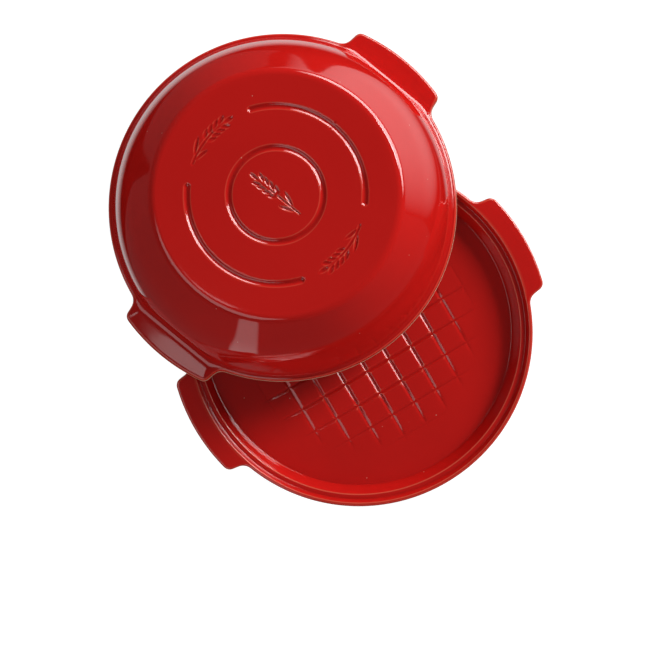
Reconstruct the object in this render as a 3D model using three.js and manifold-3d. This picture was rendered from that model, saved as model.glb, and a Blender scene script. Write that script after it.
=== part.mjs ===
// Round ceramic bread baker: a shallow base dish and a domed lid, shown with the lid
// lifted off and leaning on the base. Millimetres, +Z up, the table is z = 0, the base
// stands on the origin and +X runs through its two lugs.

import * as THREE from "three";
import { mergeVertices } from "three/addons/utils/BufferGeometryUtils.js";
import Module from "manifold-3d";

const wasm = await Module();
wasm.setup();

// Rim, shared by the base and the lid
const RIM_RADIUS = 147;
const RIM_BAND_HEIGHT = 9;
const RIM_EDGE_ROUND = 2;

// Lugs, one pair on each piece
const LUG_REACH = 161.8;
const LUG_WIDTH = 87.6;
const LUG_SIDE_TAPER = 2.2;
const LUG_CORNER_ROUND = 6.5;
const LUG_ROOT_BLEND = 6.5;
const LUG_EDGE_ROUND = 2.4;
const LUG_SETBACK = 0.4;

// Base dish
const BASE_HEIGHT = 26;
const BASE_WALL = 7;
const FLOOR_THICKNESS = 7.5;
const FLOOR_RADIUS = 129.5;
const FLOOR_BLEND = 5.5;
const FOOT_EDGE_BLEND = 6;
const FLOOR_CROWN = 2.2;

// Step inside the base rim that takes the lid's lip
const RIM_LAND = 3.2;
const SEAT_DEPTH = 4.6;
const SEAT_TAPER = 2.6;
const SEAT_WIDTH = 4.2;
const LIP_CLEARANCE = 0.8;

// Grid of grooves in the crowned floor
const GRID_PITCH = 21.5;
const GRID_LINES = 10;
const GRID_REACH = 110;
const GRID_GROOVE_WIDTH = 4;
const GRID_LEAST_DEPTH = 0.15;

// Domed lid
const LID_HEIGHT = 112;
const LID_WALL = 7.5;
const LEDGE_WIDTH = 6.2;
const LEDGE_RISE = 1.2;
const DOME_FOOT_BLEND = 3;
const DOME_KNEE_RADIUS = 132.5;
const DOME_KNEE_HEIGHT = 56;
const DOME_KNEE_BLEND = 28;
const DOME_TOP_RADIUS = 104;
const DOME_SHOULDER_BLEND = 12;
const LIP_EDGE_ROUND = 1.2;

// Flat behind each lid lug, and the shallow dish in the lug's top
const THUMB_FLAT_REACH = 136.5;
const THUMB_BLEND = 5;
const THUMB_DISH_DEPTH = 1.3;
const THUMB_LIP_WIDTH = 4;

// Grooves in the lid's flat top
const TOP_RING_RADIUS = 38;
const TOP_ARC_RADIUS = 71.6;
const TOP_ARC_HALF_ANGLE = THREE.MathUtils.degToRad(56);
const TOP_GROOVE_WIDTH = 4.4;
const TOP_GROOVE_DEPTH = 1.5;
const TOP_GROOVE_SIDE_RUN = 1.3;

// Where the lid lies: its place beside the base, its turn, and the gap it rests with
const LID_OFFSET = 125.8;
const LID_SIDESTEP = -2.7;
const LID_TURN = THREE.MathUtils.degToRad(20.3);
const REST_GAP = 0.3;

// Fineness of the facets and of the search for the lid's lean
const RING_SEGMENTS = 56;
const BLEND_STEPS = 3;
const EDGE_STEPS = 2;
const ARC_STEPS = 10;
const RING_SIDES = 8;
const RIM_SAMPLES = 360;
const LEAN_STEPS = 40;
const STEEPEST_LEAN = Math.PI / 4;

// Cutters reach this far past the faces that they cut
const OVERCUT = 10;
const MERGE_DISTANCE = 1e-4;
const HALF_A_SIDE = 0.49;

const SEAT_TOP_RADIUS = RIM_RADIUS - RIM_LAND;
const SEAT_FOOT_RADIUS = SEAT_TOP_RADIUS - SEAT_TAPER;
const SEAT_INNER_RADIUS = SEAT_FOOT_RADIUS - SEAT_WIDTH;
const SEAT_HEIGHT = BASE_HEIGHT - SEAT_DEPTH;
const LIP_TOP_RADIUS = SEAT_TOP_RADIUS - LIP_CLEARANCE;
const LIP_FOOT_RADIUS = SEAT_FOOT_RADIUS - LIP_CLEARANCE;
const LIP_DEPTH = SEAT_DEPTH - LIP_CLEARANCE;
const DOME_FOOT_RADIUS = RIM_RADIUS - LEDGE_WIDTH;
const DOME_FOOT_HEIGHT = RIM_BAND_HEIGHT + LEDGE_RISE;

// A corner of an outline, with the distance on each side over which it is rounded
function corner(x, y, blend = 0) {
  return { at: new THREE.Vector2(x, y), blend };
}

// Points along a row of corners, each rounded by a smooth curve that touches both sides
function blended(corners) {
  const path = new THREE.Path();
  path.moveTo(corners[0].at.x, corners[0].at.y);
  corners.slice(1, -1).forEach(({ at, blend }, index) => {
    const before = corners[index].at;
    const after = corners[index + 2].at;
    const start = towards(at, before, blend);
    const end = towards(at, after, blend);
    path.lineTo(start.x, start.y);
    if (blend > 0) path.quadraticCurveTo(at.x, at.y, end.x, end.y);
  });
  const last = corners[corners.length - 1].at;
  path.lineTo(last.x, last.y);
  return path.getPoints(BLEND_STEPS);
}

// The point a distance from one corner towards the next, at most halfway
function towards(from, to, distance) {
  const length = from.distanceTo(to);
  return from.clone().lerp(to, Math.min(distance / length, HALF_A_SIDE));
}

// The line through two points, moved sideways and read at a height
function offsetRadius(low, high, sideways, height) {
  const along = high.clone().sub(low).normalize();
  const moved = low.clone().add(new THREE.Vector2(along.y, -along.x).multiplyScalar(sideways));
  return moved.x + ((height - moved.y) * along.x) / along.y;
}

// The point where two lines meet after each has moved sideways
function offsetMeeting(first, second, third, sideways) {
  const lower = second.clone().sub(first).normalize();
  const upper = third.clone().sub(second).normalize();
  const normal = new THREE.Vector2(lower.y + upper.y, -lower.x - upper.x).normalize();
  const reach = sideways / (normal.x * lower.y - normal.y * lower.x);
  return second.clone().addScaledVector(normal, reach);
}

// A three.js geometry as a solid that can be joined and cut
function solidOf(geometry) {
  const bare = geometry.index ? geometry.toNonIndexed() : geometry.clone();
  bare.deleteAttribute("normal");
  bare.deleteAttribute("uv");
  const merged = mergeVertices(bare, MERGE_DISTANCE);
  const index = merged.index.array;
  const triangles = [];
  for (let i = 0; i < index.length; i += 3) {
    const [a, b, c] = index.slice(i, i + 3);
    if (a !== b && b !== c && c !== a) triangles.push(a, b, c);
  }
  const mesh = new wasm.Mesh({
    numProp: 3,
    vertProperties: new Float32Array(merged.attributes.position.array),
    triVerts: new Uint32Array(triangles),
  });
  return new wasm.Manifold(mesh);
}

// A solid as a three.js geometry
function geometryOf(solid) {
  const mesh = solid.getMesh();
  const geometry = new THREE.BufferGeometry();
  geometry.setAttribute("position", new THREE.BufferAttribute(mesh.vertProperties, mesh.numProp));
  geometry.setIndex(new THREE.BufferAttribute(mesh.triVerts, 1));
  geometry.computeVertexNormals();
  return geometry;
}

// A profile of radius and height turned about the Z axis
function turned(profile) {
  return solidOf(new THREE.LatheGeometry(profile, RING_SEGMENTS).rotateX(Math.PI / 2));
}

function joined(solids) {
  return solids.reduce((whole, next) => whole.add(next));
}

// Plan outline of a lug on +X, from inside the rim out to its rounded corners
function lugOutline() {
  const rootHalf = LUG_WIDTH / 2 + LUG_SIDE_TAPER;
  const tipHalf = LUG_WIDTH / 2;
  const rootX = Math.sqrt(RIM_RADIUS ** 2 - rootHalf ** 2);
  const spreadAngle = Math.atan2(rootHalf, rootX) + (2 * LUG_ROOT_BLEND) / RIM_RADIUS;
  const spreadRadius = RIM_RADIUS - LUG_SETBACK;
  const spread = new THREE.Vector2(
    spreadRadius * Math.cos(spreadAngle), spreadRadius * Math.sin(spreadAngle));
  const tipAngle = Math.asin(tipHalf / LUG_REACH);
  const side = [
    corner(spread.x, spread.y),
    corner(rootX, rootHalf, LUG_ROOT_BLEND),
    corner(LUG_REACH * Math.cos(tipAngle), tipHalf, LUG_CORNER_ROUND),
    corner(LUG_REACH * Math.cos(tipAngle / 2), LUG_REACH * Math.sin(tipAngle / 2)),
  ];
  const upper = blended(side);
  const arc = new THREE.Path();
  arc.absarc(0, 0, LUG_REACH, tipAngle / 2, -tipAngle / 2, true);
  const lower = upper.map((point) => new THREE.Vector2(point.x, -point.y)).reverse();
  const edge = [...upper, ...arc.getPoints(BLEND_STEPS).slice(1, -1), ...lower];
  const heelX = spread.x - 2 * LUG_ROOT_BLEND;
  const heel = [new THREE.Vector2(heelX, -spread.y), new THREE.Vector2(heelX, spread.y)];
  return new THREE.Shape([...edge, ...heel]);
}

// Both lugs of a piece, between two heights
function lugPair(low, high) {
  const lug = new THREE.ExtrudeGeometry(lugOutline(), {
    depth: high - low - 2 * LUG_EDGE_ROUND,
    bevelThickness: LUG_EDGE_ROUND,
    bevelSize: LUG_EDGE_ROUND,
    bevelOffset: -LUG_EDGE_ROUND,
    bevelSegments: EDGE_STEPS,
  });
  lug.translate(0, 0, low + LUG_EDGE_ROUND);
  const first = solidOf(lug);
  const second = solidOf(lug.clone().rotateZ(Math.PI));
  return first.add(second);
}

// Outer form of the base, before its bowl is cut: the wall keeps an even thickness
function baseProfile() {
  const floorCorner = new THREE.Vector2(FLOOR_RADIUS, FLOOR_THICKNESS);
  const wallTop = new THREE.Vector2(SEAT_INNER_RADIUS, SEAT_HEIGHT);
  const bandFoot = BASE_HEIGHT - RIM_BAND_HEIGHT;
  const footRadius = offsetRadius(floorCorner, wallTop, BASE_WALL, 0);
  const underBandRadius = offsetRadius(floorCorner, wallTop, BASE_WALL, bandFoot);
  return blended([
    corner(0, 0),
    corner(footRadius, 0, FOOT_EDGE_BLEND),
    corner(underBandRadius, bandFoot, RIM_EDGE_ROUND),
    corner(RIM_RADIUS, bandFoot, RIM_EDGE_ROUND),
    corner(RIM_RADIUS, BASE_HEIGHT, RIM_EDGE_ROUND),
    corner(0, BASE_HEIGHT),
  ]);
}

// Space inside the base: crowned floor, sloping wall and the step for the lid's lip
function bowlProfile() {
  const crown = new THREE.Path();
  crown.moveTo(0, FLOOR_THICKNESS + FLOOR_CROWN);
  crown.quadraticCurveTo(GRID_REACH / 2, FLOOR_THICKNESS + FLOOR_CROWN, GRID_REACH, FLOOR_THICKNESS);
  const flare = SEAT_TOP_RADIUS + (SEAT_TAPER / SEAT_DEPTH) * OVERCUT;
  const wall = blended([
    corner(GRID_REACH, FLOOR_THICKNESS),
    corner(FLOOR_RADIUS, FLOOR_THICKNESS, FLOOR_BLEND),
    corner(SEAT_INNER_RADIUS, SEAT_HEIGHT, RIM_EDGE_ROUND / 2),
    corner(SEAT_FOOT_RADIUS, SEAT_HEIGHT, RIM_EDGE_ROUND / 2),
    corner(flare, BASE_HEIGHT + OVERCUT),
    corner(0, BASE_HEIGHT + OVERCUT),
  ]);
  return [...crown.getPoints(BLEND_STEPS), ...wall.slice(1)];
}

// Straight grooves both ways: a level bottom under the crown lets them fade out in a circle
function floorGrid() {
  const rise = FLOOR_CROWN + OVERCUT;
  const half = ((GRID_GROOVE_WIDTH / 2) * rise) / FLOOR_CROWN;
  const section = new THREE.Shape([
    new THREE.Vector2(0, 0),
    new THREE.Vector2(half, rise),
    new THREE.Vector2(-half, rise),
  ]);
  const bars = [];
  for (let line = 0; line < GRID_LINES; line += 1) {
    const place = (line - (GRID_LINES - 1) / 2) * GRID_PITCH;
    if (Math.abs(place) < GRID_REACH) {
      const length = 2 * Math.sqrt(GRID_REACH ** 2 - place ** 2);
      const bar = new THREE.ExtrudeGeometry(section, { depth: length, bevelEnabled: false });
      bar.rotateX(Math.PI / 2).translate(place, length / 2, FLOOR_THICKNESS + GRID_LEAST_DEPTH);
      bars.push(solidOf(bar), solidOf(bar.clone().rotateZ(Math.PI / 2)));
    }
  }
  return joined(bars);
}

function makeBase() {
  const lugs = lugPair(BASE_HEIGHT - RIM_BAND_HEIGHT + LUG_SETBACK, BASE_HEIGHT - LUG_SETBACK);
  const body = turned(baseProfile()).add(lugs);
  return body.subtract(turned(bowlProfile())).subtract(floorGrid());
}

// Corners of the dome's outer form above the rim
function domeCorners() {
  return {
    foot: new THREE.Vector2(DOME_FOOT_RADIUS, DOME_FOOT_HEIGHT),
    knee: new THREE.Vector2(DOME_KNEE_RADIUS, DOME_KNEE_HEIGHT),
    top: new THREE.Vector2(DOME_TOP_RADIUS, LID_HEIGHT),
    centre: new THREE.Vector2(0, LID_HEIGHT),
  };
}

// Outer form of the lid, from the lip that drops into the base up to the flat top
function lidProfile() {
  const { foot, knee, top, centre } = domeCorners();
  return blended([
    corner(0, -LIP_DEPTH),
    corner(LIP_FOOT_RADIUS, -LIP_DEPTH, LIP_EDGE_ROUND),
    corner(LIP_TOP_RADIUS, 0, LIP_EDGE_ROUND),
    corner(RIM_RADIUS, 0, RIM_EDGE_ROUND / 2),
    corner(RIM_RADIUS, RIM_BAND_HEIGHT, RIM_EDGE_ROUND),
    corner(foot.x, foot.y, DOME_FOOT_BLEND),
    corner(knee.x, knee.y, DOME_KNEE_BLEND),
    corner(top.x, top.y, DOME_SHOULDER_BLEND),
    corner(centre.x, centre.y),
  ]);
}

// Space under the dome, an even wall inside the outer form
function domeSpaceProfile() {
  const { foot, knee, top, centre } = domeCorners();
  const innerKnee = offsetMeeting(foot, knee, top, -LID_WALL);
  const innerTop = offsetMeeting(knee, top, centre, -LID_WALL);
  const mouth = -LIP_DEPTH - OVERCUT;
  const mouthRadius = offsetRadius(foot, knee, -LID_WALL, mouth);
  return blended([
    corner(0, mouth),
    corner(mouthRadius, mouth),
    corner(innerKnee.x, innerKnee.y, DOME_KNEE_BLEND),
    corner(innerTop.x, innerTop.y, DOME_SHOULDER_BLEND),
    corner(0, innerTop.y),
  ]);
}

// Cutter for one lid lug: a thumb flat on the dome's foot that runs into a dished lug top
function thumbCut() {
  const lugTop = RIM_BAND_HEIGHT - LUG_SETBACK;
  const dishFloor = lugTop - THUMB_DISH_DEPTH;
  const lipX = LUG_REACH - THUMB_LIP_WIDTH;
  const section = blended([
    corner(THUMB_FLAT_REACH, LID_HEIGHT),
    corner(THUMB_FLAT_REACH, dishFloor, THUMB_BLEND),
    corner(lipX, dishFloor, THUMB_BLEND),
    corner(LUG_REACH, lugTop + THUMB_DISH_DEPTH),
    corner(LUG_REACH, LID_HEIGHT),
  ]);
  const width = LUG_WIDTH + 2 * LUG_SIDE_TAPER;
  const cut = new THREE.ExtrudeGeometry(new THREE.Shape(section), { depth: width, bevelEnabled: false });
  return cut.rotateX(Math.PI / 2).translate(0, width / 2, 0);
}

// Round-ended groove along part of a circle on +X, widest at the lid's top face
function arcGroove() {
  const half = TOP_GROOVE_WIDTH / 2;
  const end = TOP_ARC_HALF_ANGLE;
  const endX = TOP_ARC_RADIUS * Math.cos(end);
  const endY = TOP_ARC_RADIUS * Math.sin(end);
  const outline = new THREE.Shape();
  outline.absarc(0, 0, TOP_ARC_RADIUS + half, -end, end, false);
  outline.absarc(endX, endY, half, end, end + Math.PI, false);
  outline.absarc(0, 0, TOP_ARC_RADIUS - half, end, -end, true);
  outline.absarc(endX, -endY, half, Math.PI - end, 2 * Math.PI - end, false);
  const groove = new THREE.ExtrudeGeometry(outline, {
    depth: OVERCUT,
    curveSegments: ARC_STEPS,
    bevelThickness: TOP_GROOVE_DEPTH,
    bevelSize: TOP_GROOVE_SIDE_RUN,
    bevelOffset: -TOP_GROOVE_SIDE_RUN,
    bevelSegments: EDGE_STEPS,
  });
  return groove.translate(0, 0, LID_HEIGHT);
}

// Ring groove round the middle of the lid's top face
function ringGroove() {
  const half = TOP_GROOVE_WIDTH / 2;
  const tube = (half ** 2 + TOP_GROOVE_DEPTH ** 2) / (2 * TOP_GROOVE_DEPTH);
  const ring = new THREE.TorusGeometry(TOP_RING_RADIUS, tube, RING_SIDES, RING_SEGMENTS);
  return ring.translate(0, 0, LID_HEIGHT - TOP_GROOVE_DEPTH + tube);
}

function makeLid() {
  const lugs = lugPair(LUG_SETBACK, RIM_BAND_HEIGHT - LUG_SETBACK);
  const body = turned(lidProfile()).add(lugs);
  const pair = (cutter) => solidOf(cutter).add(solidOf(cutter.clone().rotateZ(Math.PI)));
  return body
    .subtract(turned(domeSpaceProfile()))
    .subtract(pair(thumbCut()))
    .subtract(pair(arcGroove()))
    .subtract(solidOf(ringGroove()));
}

// Height of the lid's rim plane over the table when its far edge touches the table
function lidHeightAt(lean) {
  const heights = lidProfile().map(({ x, y }) => y * Math.cos(lean) - x * Math.sin(lean));
  return -Math.min(...heights);
}

// Whether the leaning lid's underside stays clear of the base's rim
function lidClears(lean) {
  const lidZ = lidHeightAt(lean);
  const { foot, knee } = domeCorners();
  const mouthRadius = offsetRadius(foot, knee, -LID_WALL, -LIP_DEPTH);
  const rimPoints = baseProfile().filter(({ y }) => y > BASE_HEIGHT - RIM_EDGE_ROUND);
  for (let step = 0; step <= RIM_SAMPLES; step += 1) {
    const angle = (Math.PI * step) / RIM_SAMPLES;
    for (const { x: radius, y: height } of rimPoints) {
      const sideways = radius * Math.cos(angle) - LID_SIDESTEP;
      const forward = radius * Math.sin(angle) - LID_OFFSET;
      const up = height - lidZ;
      const inLidForward = forward * Math.cos(lean) - up * Math.sin(lean);
      const inLidUp = forward * Math.sin(lean) + up * Math.cos(lean);
      const inLidRadius = Math.hypot(sideways, inLidForward);
      const underside = inLidRadius < LIP_TOP_RADIUS ? -LIP_DEPTH : 0;
      if (inLidRadius > mouthRadius && inLidUp > underside - REST_GAP) return false;
    }
  }
  return true;
}

// The smallest lean at which the lid rests on the table and just over the base's rim
function restingLean() {
  let low = 0;
  let high = STEEPEST_LEAN;
  for (let step = 0; step < LEAN_STEPS; step += 1) {
    const middle = (low + high) / 2;
    if (lidClears(middle)) high = middle;
    else low = middle;
  }
  return high;
}

function glazed(name, colour) {
  const material = new THREE.MeshStandardMaterial({ color: colour, roughness: 0.12, metalness: 0 });
  material.name = name;
  return material;
}

const baseMesh = new THREE.Mesh(geometryOf(makeBase()), glazed("base_glaze", 0xa81410));
baseMesh.name = "base";

const lidMesh = new THREE.Mesh(geometryOf(makeLid()), glazed("lid_glaze", 0xb3170f));
lidMesh.name = "lid";
lidMesh.rotation.z = LID_TURN;

const lean = restingLean();
const leaningLid = new THREE.Group();
leaningLid.rotation.x = -lean;
leaningLid.position.set(LID_SIDESTEP, LID_OFFSET, lidHeightAt(lean));
leaningLid.add(lidMesh);

const breadBaker = new THREE.Group();
breadBaker.add(baseMesh, leaningLid);

export default breadBaker;
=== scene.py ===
import math

import bpy
import numpy as np
from mathutils import Matrix, Vector
from mathutils.geometry import delaunay_2d_cdt


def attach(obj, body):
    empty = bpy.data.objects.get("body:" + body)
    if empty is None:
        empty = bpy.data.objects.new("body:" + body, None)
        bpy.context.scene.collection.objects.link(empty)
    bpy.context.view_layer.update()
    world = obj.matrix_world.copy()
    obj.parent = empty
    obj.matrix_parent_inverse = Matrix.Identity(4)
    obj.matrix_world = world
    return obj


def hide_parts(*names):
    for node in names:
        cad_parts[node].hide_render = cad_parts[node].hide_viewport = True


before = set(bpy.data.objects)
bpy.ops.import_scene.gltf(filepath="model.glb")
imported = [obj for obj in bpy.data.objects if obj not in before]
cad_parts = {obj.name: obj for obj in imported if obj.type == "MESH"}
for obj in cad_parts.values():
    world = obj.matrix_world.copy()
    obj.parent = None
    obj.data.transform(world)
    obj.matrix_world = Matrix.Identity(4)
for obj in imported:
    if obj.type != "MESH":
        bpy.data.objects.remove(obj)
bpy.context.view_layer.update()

# A round bread baker of red glazed ceramic, its lid lifted off and leaning on its base.
# Sizes are in millimetres, angles in degrees, and the meshes are made in metres.
MM = 0.001

# Rim and lugs, alike on the base and the lid
RIM_RADIUS = 147.0
RIM_BAND_HEIGHT = 9.0
RIM_EDGE_ROUND = 2.0
LUG_REACH = 161.4
LUG_WIDTH = 87.6
LUG_SIDE_TAPER = 2.2
LUG_CORNER_ROUND = 5.0
LUG_ROOT_BLEND = 6.5
LUG_EDGE_ROUND = 1.8
LUG_SETBACK = 0.4
UNDER_RIM_INSET = 1.6

# Base dish, and the step inside its rim
BASE_HEIGHT = 26.0
FOOT_RADIUS = 133.4
WALL_TOP_RADIUS = 142.6
FLOOR_THICKNESS = 7.5
FLOOR_RADIUS = 130.9
FLOOR_BLEND = 1.2
FOOT_EDGE_BLEND = 6.0
SEAT_TOP_RADIUS = 143.8
SEAT_FOOT_RADIUS = 141.2
SEAT_INNER_RADIUS = 137.0
SEAT_HEIGHT = 21.4
SEAT_EDGE_ROUND = 0.8

# Crowned floor with a grid of grooves that fade out in a circle
CROWN_RADIUS = 114.0
CROWN_RISE = 2.2
CROWN_FALL = 1.25
GRID_PITCH = 21.5
GRID_LINES = 10
GRID_LEVEL = 0.15
GROOVE_DEPTH = 1.5
GROOVE_HALF_WIDTH = 2.1
GROOVE_LIP_ROUND = 0.2
GROOVE_FADE_DEPTH = 0.4

# Domed lid
LID_HEIGHT = 111.2
LID_WALL = 7.5
LIP_FOOT_RADIUS = 140.4
LIP_TOP_RADIUS = 143.0
LIP_DEPTH = 3.8
LIP_EDGE_ROUND = 1.2
LIP_LAND = 1.6
CLAY_EDGE_HEIGHT = 3.8
CLAY_EDGE_FADE = 0.5
LID_RIM_TAPER = 0.7
DOME_FOOT = np.array([142.2, 10.2])
DOME_FOOT_BLEND = 2.4
DOME_KNEE = np.array([132.5, 56.0])
DOME_KNEE_BLEND = 28.0
DOME_TOP = np.array([101.2, LID_HEIGHT])
DOME_SHOULDER_BLEND = 5.0
THUMB_FLAT_REACH = 136.5
THUMB_FLAT_SOFTNESS = 1.2
THUMB_BLEND = 8.5

# Grooves and wheat ears pressed into the lid's flat top
TOP_RING_RADIUS = 38.0
TOP_ARC_RADIUS = 71.6
TOP_ARC_HALF_ANGLE = 56.0
TOP_GROOVE_HALF_WIDTH = 2.9
TOP_GROOVE_DEPTH = 1.5
CARVED_SOFTNESS = 1.5
EAR_DEPTH = 1.0
STALK_FROM = -24.0
STALK_TO = 6.0
STALK_HALF_WIDTH = 1.1
STALK_DEPTH_SHARE = 0.7
GRAIN_PAIRS = 4
FIRST_GRAINS = 2.0
GRAIN_PITCH = 5.2
GRAIN_BESIDE = 3.3
GRAIN_TURN = 24.0
GRAIN_HALF_SIZE = (4.3, 1.75)
BLADE_TAPER = 0.6
BLADE_SOFTNESS = 0.9

# End grain and leaves: place along and beside the stalk, turn, half length and half width
END_GRAIN = (23.0, 0.0, 0.0, 4.6, 1.7)
LEAVES = [(-10.0, 3.6, 22.0, 7.5, 1.35), (-14.0, -3.4, -22.0, 7.0, 1.35)]

# Points on the floor: distances from a groove's middle, and how far they keep from the crown's edge
NEAR_GROOVE = np.array([0.0, 0.5, 1.0, 1.5, 2.0, 2.5, 3.2, 6.5])
BETWEEN_GROOVES = 11.0
FLOOR_RING_MARGIN = 0.5
FLOOR_POINT_MARGIN = 0.9

# Angles past the lug at which the rings have points: on the lid close together where ears are carved
LID_ANGLES = np.concatenate([
    np.arange(21.0, 52.0, 1.1), np.arange(52.0, 61.0, 0.4), np.arange(61.0, 89.5, 0.55), [90.0]])
BASE_ANGLES = np.arange(21.0, 90.01, 0.75)
LEAST_STEP = 0.4

# Where the lid lies
LID_PLACE = (-2.5, 125.77, 23.145)
LID_LEAN = 7.991
LID_TURN = 20.3

# Camera, in metres, 650 pixels across its sensor
CAMERA_PLACE = Vector((-0.0160, 0.2030, 2.1908))
CAMERA_TARGET = Vector((-0.0217, 0.0198, 0.0))
CAMERA_UP = Vector((0.5051, 0.8599, -0.0732))
CAMERA_LENS = 142.23

# Stage, in metres: the point that lights and panels face, and the levels of the flat cards
MIDDLE = Vector((0.0, 0.06, 0.06))
FLOOR_LEVEL = -0.0004
NEAR_TABLE_LEVEL = -0.0006
TABLE_LEVEL = -0.0008
NEAR_TABLE_SIZE = 0.35

# Colours: glaze on each piece where it is even, pooled in hollows, and lighter on edges for thin glaze
# and a painted edge highlight, and the clay
BASE_GLAZE = (0.68, 0.013, 0.010, 1), (0.52, 0.009, 0.007, 1), (0.80, 0.12, 0.07, 1)
LID_GLAZE = (0.67, 0.012, 0.009, 1), (0.50, 0.008, 0.006, 1), (0.82, 0.13, 0.075, 1)
SPECK = (0.72, 0.36, 0.28, 1)
CLAY_DARK = (0.56, 0.34, 0.20, 1)
CLAY_PALE = (0.70, 0.48, 0.32, 1)
WHITE = (1.0, 1.0, 1.0, 1.0)


def mix(first, second, share):
    return first + (second - first) * share


def toward(start, end, length):
    """The point at a length from start on the line to end."""
    return start + (end - start) / np.linalg.norm(end - start) * length


def smooth(share):
    """A share from 0 to 1 that starts and ends gently."""
    share = np.clip(share, 0.0, 1.0)
    return share * share * (3.0 - 2.0 * share)


def bezier(start, control, end, steps):
    """Points of a curve that leaves start towards control and reaches end from there."""
    t = np.linspace(0.0, 1.0, steps + 1)[:, None]
    return (1 - t) ** 2 * start + 2 * t * (1 - t) * control + t**2 * end


def divided(points, longest):
    """The same path with no step longer than a length."""
    path = [points[0]]
    for a, b in zip(points[:-1], points[1:]):
        count = max(1, math.ceil(np.linalg.norm(b - a) / longest))
        path.extend(mix(a, b, k / count) for k in range(1, count + 1))
    return np.array(path)


def rounded(corners, steps=8, longest=12.0):
    """A profile of radius and height through corners, each with the length it is rounded over."""
    at = np.array([c[:2] for c in corners], float)
    path = [at[0]]
    for before, here, after, (_, _, blend) in zip(at, at[1:], at[2:], corners[1:-1]):
        start = here + (before - here) * min(blend / np.linalg.norm(before - here), 0.49)
        end = here + (after - here) * min(blend / np.linalg.norm(after - here), 0.49)
        path.extend(bezier(start, here, end, steps))
    path.append(at[-1])
    return divided(np.array(path), longest)


def meeting(first, along_first, second, along_second):
    """The point where two lines meet, each given by a point and a direction."""
    sides = np.column_stack([along_first, -along_second])
    return first + along_first * np.linalg.solve(sides, second - first)[0]


def moved_corner(first, second, third, sideways):
    """The corner between two lines after each has moved sideways."""
    lower = (second - first) / np.linalg.norm(second - first)
    upper = (third - second) / np.linalg.norm(third - second)
    across = np.array([[0.0, 1.0], [-1.0, 0.0]]) * sideways
    return meeting(second + across @ lower, lower, second + across @ upper, upper)


def on_circle(radius, angle):
    return radius * np.array([math.cos(angle), math.sin(angle)])


def rim_quarter(rim_angles):
    """A quarter of a rim's plan from the middle of a lug, and the angles of the lug's tip and root."""
    root_half = LUG_WIDTH / 2 + LUG_SIDE_TAPER
    root = np.array([math.sqrt(RIM_RADIUS**2 - root_half**2), root_half])
    tip = np.array([math.sqrt(LUG_REACH**2 - (LUG_WIDTH / 2) ** 2), LUG_WIDTH / 2])
    side = (tip - root) / np.linalg.norm(tip - root)
    rim_angle = math.atan2(root[1], root[0]) + LUG_ROOT_BLEND / RIM_RADIUS
    rim_end = on_circle(RIM_RADIUS, rim_angle)
    root_corner = meeting(rim_end, on_circle(1, rim_angle - math.pi / 2), root, side)
    tip_angle = math.atan2(tip[1], tip[0]) - LUG_CORNER_ROUND / LUG_REACH
    tip_end = on_circle(LUG_REACH, tip_angle)
    tip_corner = meeting(tip_end, on_circle(1, tip_angle + math.pi / 2), root, side)
    side_ends = (tip_corner - side * LUG_CORNER_ROUND, root_corner + side * LUG_ROOT_BLEND)
    quarter = [on_circle(LUG_REACH, a) for a in np.linspace(0, tip_angle, 20)]
    quarter.extend(bezier(tip_end, tip_corner, side_ends[0], 12)[1:])
    quarter.extend(mix(side_ends[0], side_ends[1], k / 4) for k in range(1, 4))
    quarter.extend(bezier(side_ends[1], root_corner, rim_end, 12))
    beyond = rim_angle + math.radians(LEAST_STEP)
    quarter.extend(on_circle(RIM_RADIUS, a) for a in np.radians(rim_angles) if a > beyond)
    return np.array(quarter), tip_angle, rim_angle


def rim_outline(rim_angles):
    """Plan of a rim with a lug on +X and -X: points, outward normals, angles and share of lug."""
    quarter, tip_angle, rim_angle = rim_quarter(rim_angles)
    half = np.vstack([quarter, (quarter * [-1, 1])[::-1][1:]])
    points = np.vstack([half, -half[1:-1]])
    steps = np.roll(points, -1, 0) - points
    steps /= np.linalg.norm(steps, axis=1)[:, None]
    along = steps + np.roll(steps, 1, 0)
    along /= np.linalg.norm(along, axis=1)[:, None]
    normals = np.column_stack([along[:, 1], -along[:, 0]])
    angles = np.arctan2(points[:, 1], points[:, 0])
    from_lug = np.arctan2(np.abs(points[:, 1]), np.abs(points[:, 0]))
    lug = smooth((rim_angle - from_lug) / (rim_angle - tip_angle))
    return points, normals, angles, lug


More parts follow.
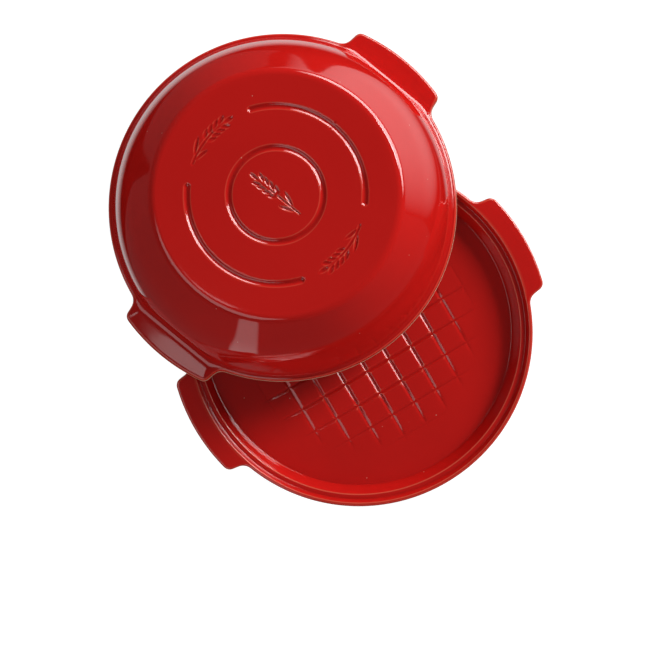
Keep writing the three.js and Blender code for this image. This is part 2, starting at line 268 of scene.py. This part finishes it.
class Rows:
    """Rings of points from the axis out and back to it, all on the same columns."""

    def __init__(self, rim_angles):
        self.points, self.normals, self.angles, self.lug = rim_outline(rim_angles)
        self.circle = np.column_stack([np.cos(self.angles), np.sin(self.angles)])
        self.rows = []
        self.bare = []

    def add(self, row, bare=0.0):
        """A ring of points, and how far the clay is bare there."""
        self.rows.append(row)
        self.bare.append(np.zeros(len(row)) + bare)

    def ring(self, radius, height):
        """Points on a circle round the axis."""
        flat = self.circle * np.reshape(radius, (-1, 1))
        return np.column_stack([flat, np.zeros(len(flat)) + height])

    def edge(self, inset, height):
        """Points along the outline of the rim and lugs, or inside it."""
        return np.column_stack([self.points - self.normals * np.reshape(inset, (-1, 1)), height])

    def profile(self, path, bare_below=-math.inf):
        """Circles through a path of radius and height, with bare clay below a height."""
        for radius, height in path:
            self.add(self.ring(radius, height), 1.0 if height < bare_below else 0.0)

    def band(self, low, high, low_round, high_round, bare_height=0.0, taper=0.0):
        """The outer face of rim and lugs, rounded at both edges, with bare clay along the lower one."""
        turns = np.radians(np.linspace(0, 90, 6))
        bare = 1.0 if bare_height > 0 else 0.0
        for a in turns:
            height = low + low_round * (1 - math.cos(a))
            self.add(self.edge(low_round * (1 - math.sin(a)), height), bare)
        for rise, left in ((bare_height, bare), (bare_height + CLAY_EDGE_FADE, 0.0)):
            if rise > 0:
                inset = taper * rise / RIM_BAND_HEIGHT
                self.add(self.edge(inset, low + low_round + rise), left)
        for a in turns:
            inset = taper + high_round * (1 - math.cos(a))
            self.add(self.edge(inset, high - high_round * (1 - math.sin(a))))
        return self.rows[-1]


def carved_line(distance, half_width):
    """Depth share of a soft-lipped groove at a distance from its middle."""
    return np.clip(1 - (distance / half_width) ** 2, 0, 1) ** CARVED_SOFTNESS


def segment_distance(u, v, length_from, length_to):
    """Distance from a straight line along u, between two lengths."""
    return np.hypot(u - np.clip(u, length_from, length_to), v)


def ear_blades():
    """All grains and leaves of an ear, each given as the end grain is."""
    pairs = [
        (FIRST_GRAINS + GRAIN_PITCH * k, side * GRAIN_BESIDE, side * GRAIN_TURN, *GRAIN_HALF_SIZE)
        for k in range(GRAIN_PAIRS) for side in (-1, 1)]
    return pairs + [END_GRAIN] + LEAVES


def wheat_ear(u, v):
    """Depth share of a wheat ear along u: a stalk, two leaves and pairs of grains."""
    from_stalk = segment_distance(u, v, STALK_FROM, STALK_TO)
    depth = STALK_DEPTH_SHARE * carved_line(from_stalk, STALK_HALF_WIDTH)
    for place_u, place_v, turn, half_length, half_width in ear_blades():
        c, s = math.cos(math.radians(turn)), math.sin(math.radians(turn))
        along = ((u - place_u) * c + (v - place_v) * s) / half_length
        across = (-(u - place_u) * s + (v - place_v) * c) / half_width
        reach = np.sqrt(along**2 + across**2 + BLADE_TAPER * (along * along * across) ** 2)
        depth = np.maximum(depth, np.clip(1 - reach**2, 0, 1) ** BLADE_SOFTNESS)
    return depth


def top_depth(radius, angles):
    """How deep the lid's flat top is carved at a radius, along all angles."""
    turn = np.arctan2(np.abs(np.sin(angles)), np.abs(np.cos(angles)))
    past = np.clip(turn - math.radians(TOP_ARC_HALF_ANGLE), 0, None)
    to_end = np.hypot(radius * np.cos(past) - TOP_ARC_RADIUS, radius * np.sin(past))
    arc = np.where(past > 0, to_end, np.abs(radius - TOP_ARC_RADIUS))
    ring = np.full(len(angles), abs(radius - TOP_RING_RADIUS))
    groove = carved_line(np.minimum(arc, ring), TOP_GROOVE_HALF_WIDTH) * TOP_GROOVE_DEPTH
    from_gap = np.sign(np.sin(angles)) * (math.pi / 2 - np.abs(angles))
    gap_ear = wheat_ear(from_gap * TOP_ARC_RADIUS, radius - TOP_ARC_RADIUS)
    middle_ear = wheat_ear(radius * np.sin(angles), radius * np.cos(angles))
    ear = gap_ear if radius > (TOP_RING_RADIUS + TOP_ARC_RADIUS) / 2 else middle_ear
    return np.maximum(groove, ear * EAR_DEPTH)


def wall_radius(start, height):
    """Radius at a height on a line that runs from a point in the slope of the lower dome wall."""
    slope = (DOME_KNEE[0] - DOME_FOOT[0]) / (DOME_KNEE[1] - DOME_FOOT[1])
    return start[0] + (height - start[1]) * slope


def dome_wall(rows, height):
    """A ring on the lower dome wall."""
    return thumb_flat(rows.ring(wall_radius(DOME_FOOT, height), height))


def thumb_flat(ring):
    """A ring on the dome, drawn in to a flat behind each lug."""
    room = THUMB_FLAT_REACH - np.abs(ring[:, 0])
    kept = (room + np.sqrt(room**2 + THUMB_FLAT_SOFTNESS**2)) / 2
    moved = ring.copy()
    moved[:, 0] = np.sign(ring[:, 0]) * (THUMB_FLAT_REACH - kept)
    return moved


def lid_inside():
    """Profile of the lid's hollow from the axis down to its lip and the land beside it."""
    knee = moved_corner(DOME_FOOT, DOME_KNEE, DOME_TOP, -LID_WALL)
    top = moved_corner(DOME_KNEE, DOME_TOP, np.array([0.0, LID_HEIGHT]), -LID_WALL)
    return rounded([
        (0.0, top[1], 0),
        (*top, DOME_SHOULDER_BLEND),
        (*knee, DOME_KNEE_BLEND),
        (wall_radius(knee, -LIP_DEPTH), -LIP_DEPTH, LIP_EDGE_ROUND),
        (LIP_FOOT_RADIUS, -LIP_DEPTH, LIP_EDGE_ROUND),
        (LIP_TOP_RADIUS, 0.0, LIP_EDGE_ROUND),
        (LIP_TOP_RADIUS + LIP_LAND, 0.0, 0),
    ], longest=16.0)


def add_lid_rim(rows):
    """The lid's underside and outer face at the rim and lugs, and the last ring on them."""
    low = LUG_SETBACK * rows.lug
    high = RIM_BAND_HEIGHT - LUG_SETBACK * rows.lug
    low_round = mix(RIM_EDGE_ROUND / 2, LUG_EDGE_ROUND, rows.lug)
    high_round = mix(RIM_EDGE_ROUND, LUG_EDGE_ROUND, rows.lug)
    under = rows.rows[-1]
    for share in (0.33, 0.67):
        rows.add(mix(under, rows.edge(low_round, low), share), 1.0)
    return rows.band(low, high, low_round, high_round, CLAY_EDGE_HEIGHT, LID_RIM_TAPER)


def add_dome(rows, shore):
    """The lid's outside from its rim up: ledge and flat lug tops, dome wall, knee and shoulder."""
    foot_height = mix(DOME_FOOT[1], RIM_BAND_HEIGHT - LUG_SETBACK, rows.lug)
    blend = mix(DOME_FOOT_BLEND, THUMB_BLEND, rows.lug)
    foot = dome_wall(rows, foot_height)
    outward = shore - foot
    outward /= np.linalg.norm(outward, axis=1)[:, None]
    ledge_end = foot + outward * blend[:, None]
    ledge_end[:, 2] = mix(ledge_end[:, 2], foot_height, rows.lug)
    for share in (0.1, 0.25, 0.5, 0.75, 1.0):
        rows.add(mix(shore, ledge_end, share))
    wall_start = dome_wall(rows, foot_height + blend)
    for t in np.linspace(0, 1, 10)[1:]:
        rows.add((1 - t) ** 2 * ledge_end + 2 * t * (1 - t) * foot + t**2 * wall_start)

    knee_start = toward(DOME_KNEE, DOME_FOOT, DOME_KNEE_BLEND)
    for share in (0.25, 0.5, 0.75, 1.0):
        rows.add(dome_wall(rows, mix(wall_start[:, 2], knee_start[1], share)))
    knee = bezier(knee_start, DOME_KNEE, toward(DOME_KNEE, DOME_TOP, DOME_KNEE_BLEND), 14)
    for radius, height in knee[1:]:
        rows.add(thumb_flat(rows.ring(radius, height)))
    shoulder_start = toward(DOME_TOP, DOME_KNEE, DOME_SHOULDER_BLEND)
    shoulder = bezier(shoulder_start, DOME_TOP, DOME_TOP - [DOME_SHOULDER_BLEND, 0.0], 16)
    rows.profile(divided(np.vstack([knee[-1:], shoulder]), 4.0)[1:])


def add_lid_top(rows):
    """The lid's flat top, with rings close together where it is carved."""
    flat_edge = DOME_TOP[0] - DOME_SHOULDER_BLEND
    spans = [
        (flat_edge - 2.0, TOP_ARC_RADIUS + 9.0, 2.0),
        (TOP_ARC_RADIUS + 9.0, TOP_ARC_RADIUS - 9.5, 0.55),
        (TOP_ARC_RADIUS - 11.5, TOP_RING_RADIUS + 5.0, 2.4),
        (TOP_RING_RADIUS + 4.0, TOP_RING_RADIUS - 4.3, 0.5),
        (TOP_RING_RADIUS - 5.0, 1.5, 0.7)]
    for outer, inner, step in spans:
        for radius in np.arange(outer, inner, -step):
            rows.add(rows.ring(radius, LID_HEIGHT - top_depth(radius, rows.angles)))


def lid_rows():
    """The lid's rings from the axis inside to the axis on top, and the heights where they close."""
    rows = Rows(LID_ANGLES)
    inside = lid_inside()
    rows.profile(inside[1:], bare_below=0.5)
    add_dome(rows, add_lid_rim(rows))
    add_lid_top(rows)
    return rows, inside[0][1], LID_HEIGHT - EAR_DEPTH * STALK_DEPTH_SHARE


def floor_height(radius):
    """Height of the crowned floor without its grooves."""
    share = np.clip(1 - (radius / CROWN_RADIUS) ** 2, 0, 1) ** CROWN_FALL
    return FLOOR_THICKNESS + CROWN_RISE * share


def grooved_floor(x, y):
    """Height of the floor: grooves with sloping sides that grow shallow where the crown falls."""
    crown = floor_height(np.hypot(x, y))
    depth = np.clip(crown - FLOOR_THICKNESS - GRID_LEVEL, 0, GROOVE_DEPTH)
    last = (GRID_LINES - 1) / 2

    def cut(place):
        line = np.clip(np.round(place / GRID_PITCH - 0.5) + 0.5, -last, last) * GRID_PITCH
        left = depth * (1 - np.abs(place - line) / GROOVE_HALF_WIDTH)
        return (left + np.sqrt(left**2 + GROOVE_LIP_ROUND**2)) / 2

    return crown - np.maximum(cut(x), cut(y)) * smooth(depth / GROOVE_FADE_DEPTH)


def base_rows():
    """The base's rings from the axis underneath, round the rim and in to the foot of the crown."""
    rows = Rows(BASE_ANGLES)
    band_foot = BASE_HEIGHT - RIM_BAND_HEIGHT
    under = rounded([
        (0.0, 0.0, 0),
        (FOOT_RADIUS, 0.0, FOOT_EDGE_BLEND),
        (WALL_TOP_RADIUS, band_foot, RIM_EDGE_ROUND),
        (RIM_RADIUS - UNDER_RIM_INSET, band_foot, 0),
    ], longest=14.0)
    rows.profile(under[1:-1], bare_below=0.05)

    low = band_foot + LUG_SETBACK * rows.lug
    high = BASE_HEIGHT - LUG_SETBACK * rows.lug
    edge_round = mix(RIM_EDGE_ROUND, LUG_EDGE_ROUND, rows.lug)
    start = rows.rows[-1]
    for share in (0.33, 0.67):
        rows.add(mix(start, rows.edge(edge_round, low), share))
    shore = rows.band(low, high, edge_round, edge_round)

    seat = rounded([
        (RIM_RADIUS - RIM_EDGE_ROUND, BASE_HEIGHT, 0),
        (SEAT_TOP_RADIUS, BASE_HEIGHT, SEAT_EDGE_ROUND),
        (SEAT_FOOT_RADIUS, SEAT_HEIGHT, SEAT_EDGE_ROUND),
        (SEAT_INNER_RADIUS, SEAT_HEIGHT, SEAT_EDGE_ROUND),
        (FLOOR_RADIUS, FLOOR_THICKNESS, FLOOR_BLEND),
        (CROWN_RADIUS + FLOOR_RING_MARGIN, FLOOR_THICKNESS, 0),
    ], longest=6.0)[1:]
    land = rows.ring(*seat[0])
    for share in (0.25, 0.5, 0.75):
        rows.add(mix(shore, land, share))
    rows.profile(seat)
    return rows


def grid_places():
    """Places across the floor, close together at each groove and wide apart between grooves."""
    lines = (np.arange(GRID_LINES) - (GRID_LINES - 1) / 2) * GRID_PITCH
    offsets = np.unique(np.concatenate([NEAR_GROOVE, -NEAR_GROOVE, [BETWEEN_GROOVES]]))
    places = np.concatenate([lines + offset for offset in offsets])
    edge = lines[-1] + GRID_PITCH / 2
    places = np.unique(np.round(np.concatenate([places, [-edge]]), 4))
    return places[np.abs(places) < CROWN_RADIUS]


def floor_patch(ring):
    """Triangles that fill the floor inside a ring of points, and the points that they add."""
    places = grid_places()
    x, y = (a.ravel() for a in np.meshgrid(places, places, indexing="ij"))
    inside = np.hypot(x, y) < CROWN_RADIUS - FLOOR_POINT_MARGIN
    x, y = x[inside], y[inside]
    flat = np.concatenate([ring[:, :2], np.column_stack([x, y])])
    count = len(ring)
    loop = [(k, (k + 1) % count) for k in range(count)]
    made = delaunay_2d_cdt([Vector(p) for p in flat], loop, [], 1, 1e-6)
    if len(made[0]) != len(flat):
        raise ValueError("the floor's points were merged")
    return np.column_stack([x, y, grooved_floor(x, y)]), made[2]


def mean_bend(mesh):
    """Mean curvature at each vertex, positive where the surface bulges."""
    count = len(mesh.vertices)
    place, normal = np.zeros(count * 3), np.zeros(count * 3)
    mesh.vertices.foreach_get("co", place)
    mesh.vertices.foreach_get("normal", normal)
    place, normal = place.reshape(-1, 3), normal.reshape(-1, 3)
    ends = np.zeros(len(mesh.edges) * 2, np.int32)
    mesh.edges.foreach_get("vertices", ends)
    a, b = ends.reshape(-1, 2).T
    step = place[b] - place[a]
    turn = np.sum((normal[b] - normal[a]) * step, 1) / np.maximum(np.sum(step**2, 1), 1e-12)
    total = np.bincount(a, turn, count) + np.bincount(b, turn, count)
    return total / np.maximum(np.bincount(a, minlength=count) + np.bincount(b, minlength=count), 1)


def smooth_object(name, points, faces, bare):
    """An object with smooth faces, and its bare clay and its bend kept at each point."""
    mesh = bpy.data.meshes.new(name)
    mesh.from_pydata((points * MM).tolist(), [], faces)
    mesh.polygons.foreach_set("use_smooth", [True] * len(mesh.polygons))
    mesh.update()
    bend = np.clip(mean_bend(mesh) * MM * 2, -1, 1)
    for label, values in (("bare_clay", bare), ("bend", bend)):
        attribute = mesh.attributes.new(label, "FLOAT", "POINT")
        attribute.data.foreach_set("value", values.astype(np.float32))
    piece = bpy.data.objects.new(name, mesh)
    bpy.context.scene.collection.objects.link(piece)
    return piece


def make_piece(name, rows, first_height, last_height=None):
    """A closed mesh from rings: a fan at the start, and at the end a fan or the grooved floor."""
    columns = len(rows.angles)
    points = np.vstack(rows.rows + [[[0, 0, first_height]]])
    bare = np.concatenate(rows.bare + [[rows.bare[0][0]]])
    here = np.arange(columns)
    onward = np.roll(here, -1)
    faces = []
    for k in range(len(rows.rows) - 1):
        lower, upper = k * columns, (k + 1) * columns
        quads = [lower + here, lower + onward, upper + onward, upper + here]
        faces.extend(np.column_stack(quads).tolist())
    centre = len(points) - 1
    faces.extend([centre, a, b] for a, b in zip(onward.tolist(), here.tolist()))
    last = (len(rows.rows) - 1) * columns
    if last_height is None:
        extra, triangles = floor_patch(rows.rows[-1])
        offset = len(points)
        for triangle in triangles:
            faces.append([last + v if v < columns else offset + v - columns for v in triangle])
    else:
        extra = np.array([[0, 0, last_height]])
        faces.extend([len(points), last + a, last + b] for a, b in zip(here.tolist(), onward.tolist()))
    points = np.vstack([points, extra])
    bare = np.concatenate([bare, np.zeros(len(extra))])
    return smooth_object(name, points, faces, bare)


class Nodes:
    """Short ways to add and join the nodes of a material."""

    def __init__(self, name):
        self.material = bpy.data.materials.new(name)
        self.material.use_nodes = True
        self.tree = self.material.node_tree
        self.tree.nodes.clear()

    def add(self, kind, settings=None, **inputs):
        node = self.tree.nodes.new("ShaderNode" + kind)
        for key, value in (settings or {}).items():
            setattr(node, key, value)
        for key, value in inputs.items():
            self.put(node.inputs[key.replace("_", " ")], value)
        return node

    def put(self, socket, value):
        """Join a socket to a node's output, or set its number or colour."""
        if isinstance(value, bpy.types.NodeSocket):
            self.tree.links.new(value, socket)
        else:
            socket.default_value = value

    def noise(self, place, scale, detail):
        return self.add("TexNoise", Vector=place, Scale=scale, Detail=detail).outputs["Fac"]

    def fit(self, value, low, high, to_low, to_high):
        """A value's place between two others, carried over to a new range."""
        node = self.add(
            "MapRange", Value=value, From_Min=low, From_Max=high, To_Min=to_low, To_Max=to_high)
        return node.outputs["Result"]

    def math(self, operation, first, second):
        node = self.tree.nodes.new("ShaderNodeMath")
        node.operation = operation
        self.put(node.inputs[0], first)
        self.put(node.inputs[1], second)
        return node.outputs[0]

    def blend(self, share, first, second):
        node = self.tree.nodes.new("ShaderNodeMix")
        node.data_type = "RGBA"
        self.put(node.inputs["Factor"], share)
        self.put(node.inputs[6], first)
        self.put(node.inputs[7], second)
        return node.outputs[2]

    def attribute(self, name):
        return self.add("Attribute", {"attribute_name": name}).outputs["Fac"]

    def surface(self, shader):
        """The finished material, with a shader as its surface."""
        output = self.tree.nodes.new("ShaderNodeOutputMaterial")
        self.put(output.inputs["Surface"], shader.outputs[0])
        return self.material


def rare_specks(n, place):
    """Share of small round spots, in a few of many cells."""
    cells = n.add("TexVoronoi", Vector=place, Scale=90.0)
    chance = n.add("SeparateColor", Color=cells.outputs["Color"]).outputs[0]
    rare = n.math("GREATER_THAN", chance, 0.82)
    return n.math("MULTIPLY", n.fit(cells.outputs["Distance"], 0.05, 0.03, 0.0, 1.0), rare)


def glossy_coat(n, place, body, pooled, thin_glaze_highlight):
    """Clouded glaze with specks and a slight ripple, thicker in hollows, and lighter on edges for thin
    glaze and a painted edge highlight.
    """
    cloud = n.noise(place, 9.0, 2.0)
    peel = n.noise(place, 55.0, 1.0)
    bend = n.attribute("bend")
    colour = n.blend(n.fit(cloud, 0.35, 0.65, 0.0, 0.25), body, pooled)
    colour = n.blend(n.fit(bend, 0.02, -0.35, 0.0, 0.8), colour, pooled)
    # Lighter on convex edges: thinner glaze there, made stronger as a painted edge highlight
    colour = n.blend(n.fit(bend, 0.22, 0.75, 0.0, 0.8), colour, thin_glaze_highlight)
    colour = n.blend(rare_specks(n, place), colour, SPECK)
    ripple = n.add("Bump", Height=peel, Strength=0.04, Distance=0.0012)
    return n.add(
        "BsdfPrincipled", Base_Color=colour, Roughness=n.fit(cloud, 0.3, 0.7, 0.045, 0.085),
        IOR=1.52, Normal=ripple.outputs["Normal"])


def rough_clay(n, place):
    """Unglazed clay with a fine grain."""
    grain = n.noise(place, 900.0, 4.0)
    rough_face = n.add("Bump", Height=grain, Strength=0.4, Distance=0.0003)
    return n.add(
        "BsdfPrincipled", Base_Color=n.blend(grain, CLAY_DARK, CLAY_PALE), Roughness=0.8,
        Normal=rough_face.outputs["Normal"])


def glaze(name, body, pooled, thin_glaze_highlight):
    """Glaze that ends in a ragged line where the clay is bare."""
    n = Nodes(name)
    place = n.add("TexCoord").outputs["Object"]
    glossy = glossy_coat(n, place, body, pooled, thin_glaze_highlight)
    clay = rough_clay(n, place)
    fray = n.fit(n.noise(place, 140.0, 2.0), 0.0, 1.0, -0.25, 0.25)
    ragged = n.math("ADD", n.attribute("bare_clay"), fray)
    mixed = n.add("MixShader", Fac=n.fit(ragged, 0.4, 0.6, 0.0, 1.0))
    n.put(mixed.inputs[1], glossy.outputs[0])
    n.put(mixed.inputs[2], clay.outputs[0])
    return n.surface(mixed)


def lid_pose():
    """How the lid lies: turned about its own axis, then leaning over the base's rim."""
    lean = Matrix.Rotation(-math.radians(LID_LEAN), 4, "X")
    turn = Matrix.Rotation(math.radians(LID_TURN), 4, "Z")
    return Matrix.Translation(Vector(LID_PLACE) * MM) @ lean @ turn


base = make_piece("glazed_base", base_rows(), 0.0)
base.data.materials.append(glaze("base_glaze", *BASE_GLAZE))
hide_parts("base")
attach(base, "base")

lid = make_piece("glazed_lid", *lid_rows())
lid.data.materials.append(glaze("lid_glaze", *LID_GLAZE))
lid.data.transform(lid_pose())
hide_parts("lid")
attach(lid, "lid")


def plane(name, width, height, place, target, material):
    """A flat card at a place, level or facing a target."""
    mesh = bpy.data.meshes.new(name)
    x, y = width / 2, height / 2
    mesh.from_pydata([(-x, -y, 0), (x, -y, 0), (x, y, 0), (-x, y, 0)], [], [(0, 1, 2, 3)])
    mesh.materials.append(material)
    card = bpy.data.objects.new(name, mesh)
    card.location = place
    card.rotation_mode = "QUATERNION"
    if target is not None:
        card.rotation_quaternion = (Vector(target) - Vector(place)).to_track_quat("Z", "Y")
    bpy.context.scene.collection.objects.link(card)
    return card


def matt(name, shade, brightness):
    """A matt grey surface that may also give light."""
    n = Nodes(name)
    face = n.add("BsdfDiffuse", Color=(shade, shade, shade, 1.0))
    light = n.add("Emission", Color=WHITE, Strength=brightness)
    both = n.tree.nodes.new("ShaderNodeAddShader")
    n.put(both.inputs[0], face.outputs[0])
    n.put(both.inputs[1], light.outputs[0])
    return n.surface(both)


def seen_by(thing, camera=False, diffuse=False, glossy=False):
    """Show a thing to some kinds of ray only, and let it cast no shadow."""
    thing.visible_camera = camera
    thing.visible_diffuse = diffuse
    thing.visible_glossy = glossy
    thing.visible_shadow = False


# The pale floor that shows, and the white table that lights the part from below
floor = plane("floor", 8.0, 8.0, (0, 0, FLOOR_LEVEL), None, matt("pale_floor", 0.3, 0.985))
seen_by(floor, camera=True)
table = plane("table", 5.0, 5.0, (0, 0, TABLE_LEVEL), None, matt("white_table", 0.75, 0.0))
seen_by(table, diffuse=True)


def around(azimuth, elevation, distance):
    """A point seen from the part at an azimuth from +X and an elevation."""
    a, e = math.radians(azimuth), math.radians(elevation)
    level = distance * math.cos(e)
    return MIDDLE + Vector((level * math.cos(a), level * math.sin(a), distance * math.sin(e)))


def soft_light(name, place, size, brightness, mirrored=False):
    """A square light facing the part, for shading only unless the glaze mirrors it too."""
    data = bpy.data.lights.new(name, "AREA")
    data.size = size
    data.energy = brightness * math.pi * size**2
    light = bpy.data.objects.new(name, data)
    light.location = place
    light.rotation_mode = "QUATERNION"
    light.rotation_quaternion = (MIDDLE - light.location).to_track_quat("-Z", "Y")
    light.visible_glossy = mirrored
    bpy.context.scene.collection.objects.link(light)


def glow(name, width, height, brightness, core, power):
    """Light that is even in the middle of a card and fades out towards its edges."""
    n = Nodes(name)
    place = n.add("SeparateXYZ", Vector=n.add("TexCoord").outputs["Object"])

    def outwards(axis, half):
        share = n.math("DIVIDE", place.outputs[axis], half)
        return n.math("POWER", n.math("ABSOLUTE", share, 0.0), power)

    to_edge = n.math("ADD", outwards(0, width / 2), outwards(1, height / 2))
    strength = n.fit(to_edge, core, 1.0, brightness, 0.0)
    return n.surface(n.add("Emission", Color=WHITE, Strength=strength))


def softbox(name, place, width, height, brightness, core=0.3, power=4.0):
    """A card with soft edges that only the glaze mirrors."""
    card = plane(name, width, height, place, MIDDLE, glow(name, width, height, brightness, core, power))
    seen_by(card, glossy=True)


# What the glaze mirrors: a wide low key light over its pale glow, then panels on the other sides
softbox("key_box", around(17, 11, 1.6), 2.6, 1.0, 10.5, core=0.2)
softbox("key_glow", around(16, -32, 1.6), 3.2, 1.3, 1.0, core=0.1, power=2.0)
softbox("left_panel", around(187, 50, 1.2), 1.5, 0.7, 1.7)
softbox("window", around(-137, -26, 1.2), 0.22, 0.9, 0.8)
softbox("lug_panel", Vector((-0.197, 0.308, 1.2)), 0.12, 0.108, 2.2, core=0.7, power=8.0)

# The lit table close round the lid
near_table = plane(
    "near_table", NEAR_TABLE_SIZE, NEAR_TABLE_SIZE,
    (LID_PLACE[0] * MM, LID_PLACE[1] * MM, NEAR_TABLE_LEVEL), None,
    glow("near_table", NEAR_TABLE_SIZE, NEAR_TABLE_SIZE, 0.7, core=0.85, power=2.0))
seen_by(near_table, glossy=True)

# Light for the broad shading
soft_light("key_light", around(8, 26, 3.0), 1.1, 21.0, mirrored=True)
soft_light("far_fill", around(48, 14, 1.6), 0.5, 3.4)
soft_light("left_fill", around(148, 22, 1.6), 1.2, 0.15)
soft_light("top_fill", Vector((-0.14, 0.12, 0.75)), 0.4, 0.35)
soft_light("back_fill", around(108, 22, 1.6), 1.2, 1.0)
soft_light("front_fill", around(-115, 20, 1.6), 1.2, 1.55)

world = bpy.data.worlds.new("studio")
world.use_nodes = True
sky = world.node_tree.nodes["Background"]
sky.inputs["Color"].default_value = WHITE
sky.inputs["Strength"].default_value = 0.06
bpy.context.scene.world = world

camera = bpy.data.objects.new("camera", bpy.data.cameras.new("camera"))
back = (CAMERA_PLACE - CAMERA_TARGET).normalized()
right = CAMERA_UP.cross(back).normalized()
camera.matrix_world = Matrix((right, back.cross(right), back)).transposed().to_4x4()
camera.location = CAMERA_PLACE
camera.data.lens = CAMERA_LENS
camera.data.dof.use_dof = False
bpy.context.scene.collection.objects.link(camera)
bpy.context.scene.camera = camera
bpy.context.scene.view_settings.view_transform = "Standard"
